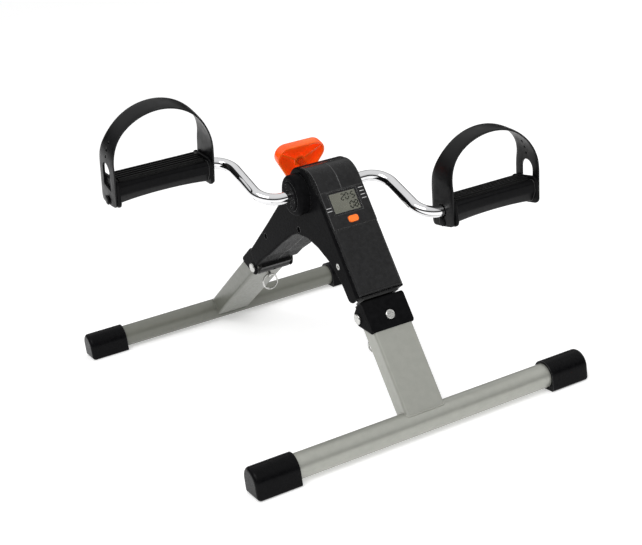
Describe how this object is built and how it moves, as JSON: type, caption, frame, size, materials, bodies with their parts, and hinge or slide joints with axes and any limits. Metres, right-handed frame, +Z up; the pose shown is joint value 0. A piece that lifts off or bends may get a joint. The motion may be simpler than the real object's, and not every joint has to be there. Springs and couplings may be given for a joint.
{
  "type": "folding pedal exerciser",
  "caption": "Folding mini pedal exerciser: bent chrome crank with strapped pedals on an A-shaped housing with display, tension knob and two floor bars.",
  "frame": {"origin": "centre of the footprint, on the floor", "axes": "+Z up; +X across the machine along the crank axle, to the rider-facing view's right; -Y is the side with the display"},
  "size_m": [0.412, 0.496, 0.3436],
  "materials": {
    "front_tube": "satin grey enamel",
    "rear_tube": "satin grey enamel",
    "black_plastic": "fine-textured satin",
    "case_plastic": "satin",
    "pedal_plastic": "satin",
    "tread_rubber": "moulded ribs",
    "strap_vinyl": "soft vinyl sheen",
    "cap_rubber": "satin",
    "chrome": "polished",
    "orange_plastic": "glossy, slightly translucent",
    "button_orange": "soft gloss",
    "lcd_window": "clear window",
    "lcd_glass": "grey-green liquid crystal",
    "board_green": "solder mask",
    "zinc_steel": "zinc plated",
    "spring_steel": "drawn wire",
    "dark_steel": "black oxide",
    "brake_felt": "pressed felt",
    "nylon_bush": "natural nylon",
    "brass_insert": "turned",
    "sensor_glass": "clear"
  },
  "bodies": {
    "housing": {"arm_frame": "dark_steel", "left_shell": "black_plastic", "right_shell": "black_plastic", "shell_screws": "zinc_steel", "front_cover": "case_plastic", "display_case": "case_plastic", "lcd_lens": "lcd_window", "lcd_panel": "lcd_glass", "circuit_board": "board_green", "button_cell": "zinc_steel", "reed_sensor": "sensor_glass", "left_bush": "nylon_bush", "right_bush": "nylon_bush", "left_hub_cap": "black_plastic", "right_hub_cap": "black_plastic", "threaded_insert": "brass_insert"},
    "front_leg": {"front_leg_tube": "front_tube", "front_knuckle": "black_plastic", "front_knuckle_screw": "zinc_steel", "front_fold_pin": "zinc_steel", "front_lock_guide": "zinc_steel", "front_lock_spring": "spring_steel", "front_floor_bar": "front_tube", "front_cap_left": "cap_rubber", "front_cap_right": "cap_rubber"},
    "front_lock": {"front_lock_plunger": "zinc_steel"},
    "front_ring": {"front_pull_ring": "zinc_steel"},
    "rear_leg": {"rear_leg_tube": "rear_tube", "rear_knuckle": "black_plastic", "rear_knuckle_screw": "zinc_steel", "rear_fold_pin": "zinc_steel", "rear_lock_guide": "zinc_steel", "rear_lock_spring": "spring_steel", "rear_floor_bar": "rear_tube", "rear_cap_left": "cap_rubber", "rear_cap_right": "cap_rubber"},
    "rear_lock": {"rear_lock_plunger": "zinc_steel"},
    "rear_ring": {"rear_pull_ring": "zinc_steel"},
    "crank": {"crank_rod": "chrome", "friction_drum": "dark_steel", "speed_magnet": "zinc_steel", "axle_clips": "zinc_steel", "pedal_clips": "zinc_steel"},
    "left_pedal": {"left_pedal_core": "pedal_plastic", "left_pedal_tread": "tread_rubber", "left_foot_strap": "strap_vinyl"},
    "right_pedal": {"right_pedal_core": "pedal_plastic", "right_pedal_tread": "tread_rubber", "right_foot_strap": "strap_vinyl"},
    "brake_slider": {"brake_shoe": "dark_steel", "brake_pad": "brake_felt"},
    "tension_screw": {"tension_bolt": "brass_insert", "tension_knob": "orange_plastic"},
    "mode_key": {"mode_button": "button_orange"}
  },
  "joints": [
    {"name": "front_leg_fold", "type": "hinge", "parent": "housing", "child": "front_leg", "pos_m": [0, -0.16777, 0.10947], "axis": [1, 0, 0], "range_deg": [0, 85]},
    {"name": "front_lock_slide", "type": "slide", "parent": "front_leg", "child": "front_lock", "axis": [0, 0.515, 0.8572], "range_m": [0, 0.003], "stiffness_N_per_m": 400, "springref_m": 0.003},
    {"name": "front_ring_swing", "type": "hinge", "parent": "front_lock", "child": "front_ring", "pos_m": [-0.009, -0.17101, 0.08855], "axis": [1, 0, 0], "range_deg": [-20, 20]},
    {"name": "rear_leg_fold", "type": "hinge", "parent": "housing", "child": "rear_leg", "pos_m": [0, 0.07739, 0.10721], "axis": [-1, 0, 0], "range_deg": [0, 105]},
    {"name": "rear_lock_slide", "type": "slide", "parent": "rear_leg", "child": "rear_lock", "axis": [0, -0.8387, 0.5446], "range_m": [0, 0.003], "stiffness_N_per_m": 400, "springref_m": 0.003},
    {"name": "rear_ring_swing", "type": "hinge", "parent": "rear_lock", "child": "rear_ring", "pos_m": [0, 0.08947, 0.08983], "axis": [1, 0, 0], "range_deg": [-20, 20]},
    {"name": "crank_spin", "type": "hinge", "parent": "housing", "child": "crank", "pos_m": [0, -0.084, 0.225], "axis": [1, 0, 0], "continuous": true},
    {"name": "left_pedal_spin", "type": "hinge", "parent": "crank", "child": "left_pedal", "pos_m": [-0.1475, -0.01361, 0.26087], "axis": [1, 0, 0], "continuous": true},
    {"name": "right_pedal_spin", "type": "hinge", "parent": "crank", "child": "right_pedal", "pos_m": [0.1475, -0.15439, 0.18913], "axis": [1, 0, 0], "continuous": true},
    {"name": "brake_slide", "type": "slide", "parent": "housing", "child": "brake_slider", "axis": [0, -0.9135, -0.4067], "range_m": [0, 0.0025]},
    {"name": "knob_turn", "type": "hinge", "parent": "brake_slider", "child": "tension_screw", "pos_m": [0, -0.03924, 0.24493], "axis": [0, -0.9135, -0.4067], "range_deg": [0, 720]},
    {"name": "mode_press", "type": "slide", "parent": "housing", "child": "mode_key", "axis": [0, 0.8572, -0.515], "range_m": [0, 0.001], "stiffness_N_per_m": 500}
  ],
  "couplings": [
    {"joint": "knob_turn", "follows": "brake_slide", "rad_per_m": 5026.5}
  ]
}
